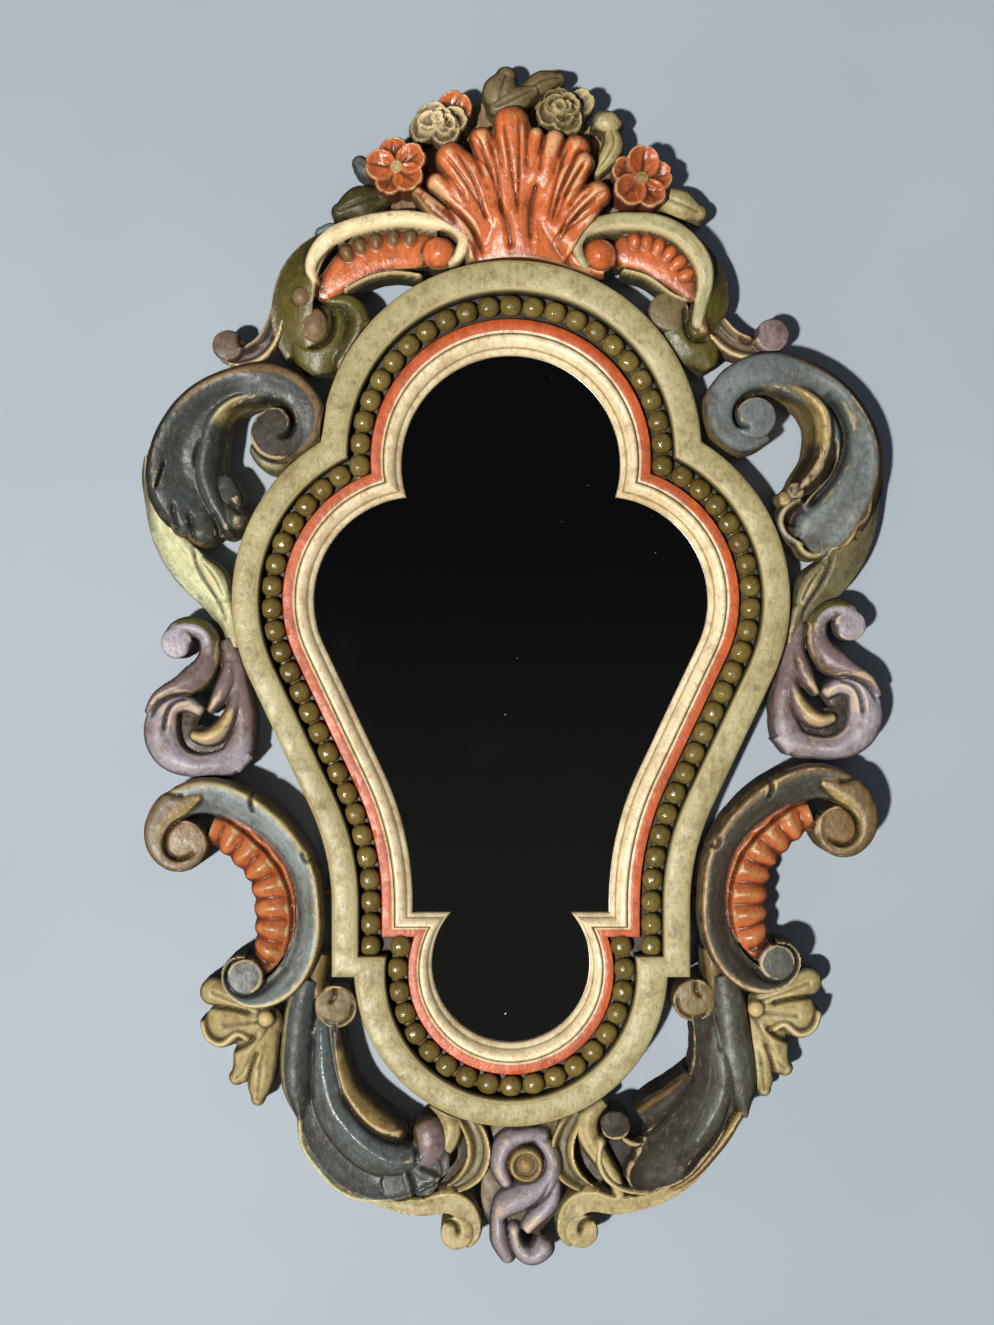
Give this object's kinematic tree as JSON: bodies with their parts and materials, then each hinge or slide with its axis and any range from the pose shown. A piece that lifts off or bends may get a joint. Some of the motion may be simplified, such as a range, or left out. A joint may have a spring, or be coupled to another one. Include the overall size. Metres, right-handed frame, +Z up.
{
  "type": "carved wall mirror",
  "caption": "Carved and painted wooden wall mirror with a lobed beaded frame, pierced scrolls, a shell and flower crest, a glass plate and a folding hanging loop.",
  "frame": {"origin": "inside top of the hanging loop on the back of the arch, where the nail bears", "axes": "+Z up the hung mirror, +Y into the wall, so the glass faces -Y, +X to the right seen from the front"},
  "size_m": [0.4602, 0.0505, 0.7469],
  "materials": {
    "bare_wood": "raw",
    "bead_olive": "worn satin paint",
    "brass": "dull",
    "flower_orange": "worn satin paint",
    "gold_tan": "worn satin paint",
    "leaf_lavender": "worn matt paint",
    "leaf_olive": "worn satin paint",
    "lip_cream": "aged matt paint",
    "mirror": "silvered",
    "rail_green": "aged matt paint",
    "rim_pale": "aged matt paint",
    "rose_cream": "worn satin paint",
    "scroll_blue": "worn matt paint",
    "steel": "dull"
  },
  "bodies": {
    "frame": {"backing_board": "bare_wood", "base_rim_l": "rim_pale", "base_rim_r": "rim_pale", "base_scroll_l": "scroll_blue", "base_scroll_r": "scroll_blue", "bead_course": "bead_olive", "brads": "steel", "bud_r": "leaf_olive", "crest_block": "bare_wood", "crest_leaf_l": "leaf_olive", "crest_leaf_r": "leaf_olive", "crest_scroll_l": "scroll_blue", "crest_scroll_r": "scroll_blue", "crest_shell": "flower_orange", "dowels": "bare_wood", "ear_curl_l": "gold_tan", "ear_curl_r": "gold_tan", "flower_l": "flower_orange", "flower_r": "flower_orange", "hanger_plate": "brass", "hanger_screws": "steel", "hook_volute_l": "gold_tan", "hook_volute_r": "gold_tan", "leaf_blue_l": "scroll_blue", "leaf_curl_r": "leaf_olive", "leaf_olive_l": "leaf_olive", "leaf_r": "leaf_olive", "leaf_small_l": "scroll_blue", "leaf_spray_l": "leaf_olive", "leaf_spray_r": "leaf_olive", "leaf_top_c": "leaf_olive", "leaf_top_l": "leaf_olive", "leaf_top_r": "leaf_olive", "lower_scroll_l": "scroll_blue", "lower_scroll_r": "scroll_blue", "mirror_glass": "mirror", "pendant": "leaf_lavender", "pendant_curl_l": "rim_pale", "pendant_curl_r": "rim_pale", "ring_bottom": "rail_green", "ring_left": "rail_green", "ring_right": "rail_green", "ring_top": "rail_green", "rose_l": "rose_cream", "rose_r": "rose_cream", "shoulder_scroll_l": "scroll_blue", "shoulder_scroll_r": "scroll_blue", "side_acanthus_l": "leaf_lavender", "side_acanthus_r": "leaf_lavender", "slip_bottom": "lip_cream", "slip_left": "lip_cream", "slip_right": "lip_cream", "slip_top": "lip_cream", "stem_leaf_l": "rim_pale", "stem_leaf_r": "rim_pale"},
    "hanger_loop": {"hanger_ring": "brass"}
  },
  "joints": [
    {"name": "loop_hinge", "type": "hinge", "parent": "frame", "child": "hanger_loop", "pos_m": [0, 0, -0.016], "axis": [-1, 0, 0], "range_deg": [0, 180]}
  ]
}
